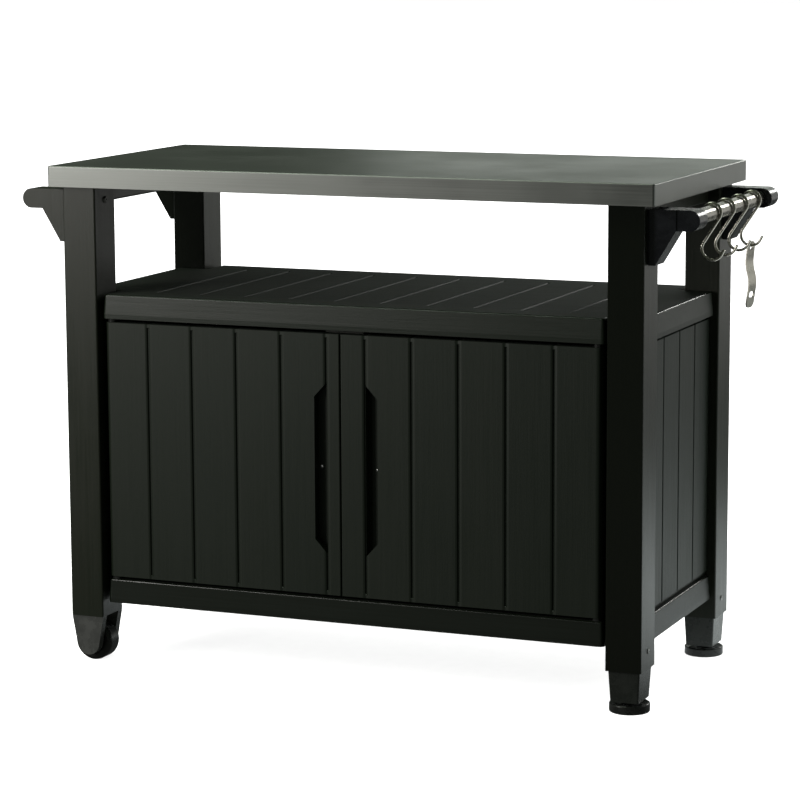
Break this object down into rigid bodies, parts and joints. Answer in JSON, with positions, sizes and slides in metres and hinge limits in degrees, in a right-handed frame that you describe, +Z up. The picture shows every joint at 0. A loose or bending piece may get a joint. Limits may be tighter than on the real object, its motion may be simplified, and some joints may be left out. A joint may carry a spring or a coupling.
{
  "type": "prep table",
  "caption": "Outdoor prep table: folded steel worktop on dark resin posts, open shelf over a cabinet with hinged doors, towel bar, hook rail with hanging hooks, wheels and levelling feet.",
  "frame": {"origin": "on the floor, under the middle of the worktop", "axes": "+X to the right along the worktop, +Y from the doors to the back, +Z up"},
  "size_m": [1.26, 0.54, 0.9],
  "materials": {
    "worktop_steel": "fine brushed stainless sheet",
    "resin": "satin moulded resin, fine wood grain",
    "gloss_resin": "glossy black moulding",
    "coated_bar": "dark satin coating",
    "polished_steel": "polished steel",
    "zinc_steel": "zinc-plated steel"
  },
  "bodies": {
    "frame": {"top_core": "resin", "left_apron": "resin", "right_apron": "resin", "front_left_post": "resin", "rear_left_post": "resin", "front_right_post": "resin", "rear_right_post": "resin", "shelf": "resin", "base": "resin", "left_panel": "resin", "right_panel": "resin", "back_panel": "resin", "door_stop": "resin", "front_left_bracket": "resin", "rear_left_bracket": "resin", "front_right_bracket": "resin", "rear_right_bracket": "resin", "front_wheel_fork": "resin", "rear_wheel_fork": "resin", "front_foot_socket": "resin", "rear_foot_socket": "resin", "left_door_pins": "zinc_steel", "right_door_pins": "zinc_steel", "bracket_bolts": "zinc_steel", "post_screws": "zinc_steel", "front_axle": "zinc_steel", "rear_axle": "zinc_steel", "foot_nuts": "zinc_steel", "hook_rail": "polished_steel", "worktop": "worktop_steel", "towel_bar": "coated_bar"},
    "left_door": {"left_door": "resin", "left_pull_screw": "zinc_steel"},
    "right_door": {"right_door": "resin", "right_pull_screw": "zinc_steel"},
    "front_wheel": {"front_wheel": "gloss_resin"},
    "rear_wheel": {"rear_wheel": "gloss_resin"},
    "front_foot": {"front_foot_pad": "gloss_resin", "front_foot_stud": "zinc_steel"},
    "rear_foot": {"rear_foot_pad": "gloss_resin", "rear_foot_stud": "zinc_steel"},
    "hook_1": {"hook_1": "polished_steel"},
    "hook_2": {"hook_2": "polished_steel"},
    "hook_3": {"hook_3": "polished_steel"},
    "hook_4": {"hook_4": "polished_steel"},
    "bottle_opener": {"bottle_opener": "polished_steel"}
  },
  "joints": [
    {"name": "left_door_hinge", "type": "hinge", "parent": "frame", "child": "left_door", "pos_m": [-0.4555, -0.2348, 0.39215], "axis": [0, 0, -1], "range_deg": [0, 110]},
    {"name": "right_door_hinge", "type": "hinge", "parent": "frame", "child": "right_door", "pos_m": [0.4555, -0.2348, 0.39215], "axis": [0, 0, 1], "range_deg": [0, 110]},
    {"name": "front_wheel_spin", "type": "hinge", "parent": "frame", "child": "front_wheel", "pos_m": [-0.5085, -0.2168, 0.036], "axis": [0, 1, 0], "continuous": true},
    {"name": "front_foot_screw", "type": "slide", "parent": "frame", "child": "front_foot", "axis": [0, 0, -1], "range_m": [-0.003, 0.012]},
    {"name": "rear_wheel_spin", "type": "hinge", "parent": "frame", "child": "rear_wheel", "pos_m": [-0.5085, 0.2168, 0.036], "axis": [0, 1, 0], "continuous": true},
    {"name": "rear_foot_screw", "type": "slide", "parent": "frame", "child": "rear_foot", "axis": [0, 0, -1], "range_m": [-0.003, 0.012]},
    {"name": "hook_1_swing", "type": "hinge", "parent": "frame", "child": "hook_1", "pos_m": [0.6045, -0.085, 0.8385], "axis": [0, 1, 0], "range_deg": [-30, 30]},
    {"name": "hook_2_swing", "type": "hinge", "parent": "frame", "child": "hook_2", "pos_m": [0.6045, -0.005, 0.8385], "axis": [0, 1, 0], "range_deg": [-30, 30]},
    {"name": "hook_3_swing", "type": "hinge", "parent": "frame", "child": "hook_3", "pos_m": [0.6045, 0.075, 0.8385], "axis": [0, 1, 0], "range_deg": [-30, 30]},
    {"name": "hook_4_swing", "type": "hinge", "parent": "frame", "child": "hook_4", "pos_m": [0.6045, 0.155, 0.8385], "axis": [0, 1, 0], "range_deg": [-30, 15]},
    {"name": "opener_swing", "type": "hinge", "parent": "hook_4", "child": "bottle_opener", "pos_m": [0.60471, 0.155, 0.75832], "axis": [1, 0, 0], "range_deg": [-35, 35]}
  ]
}
